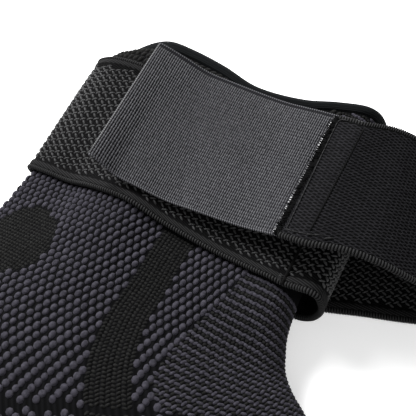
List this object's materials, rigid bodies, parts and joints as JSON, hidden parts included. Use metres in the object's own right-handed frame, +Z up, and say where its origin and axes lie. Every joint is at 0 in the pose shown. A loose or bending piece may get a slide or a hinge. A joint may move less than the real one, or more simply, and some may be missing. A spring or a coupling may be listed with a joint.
{
  "type": "ankle compression sleeve",
  "caption": "Knitted ankle compression sleeve lying on its side, with an elastic strap wrapped round the leg part and closed by a hook tab.",
  "frame": {"origin": "on the table under the middle of the object's box", "axes": "+Z up from the table, +Y along the leg towards the leg opening, +X across the leg towards the instep and the toe opening"},
  "size_m": [0.1772, 0.2194, 0.0401],
  "materials": {
    "knit": "charcoal tuck-stitch knit with black bands",
    "hem": "smooth near-black rolled hem",
    "webbing": "black elastic loop webbing with corded edges",
    "hook_tape": "grey woven back of hook tape"
  },
  "bodies": {
    "root": {"sleeve": "knit", "leg_hem": "hem", "toe_hem": "hem", "strap": "webbing", "hook_tab": "hook_tape"}
  },
  "joints": []
}
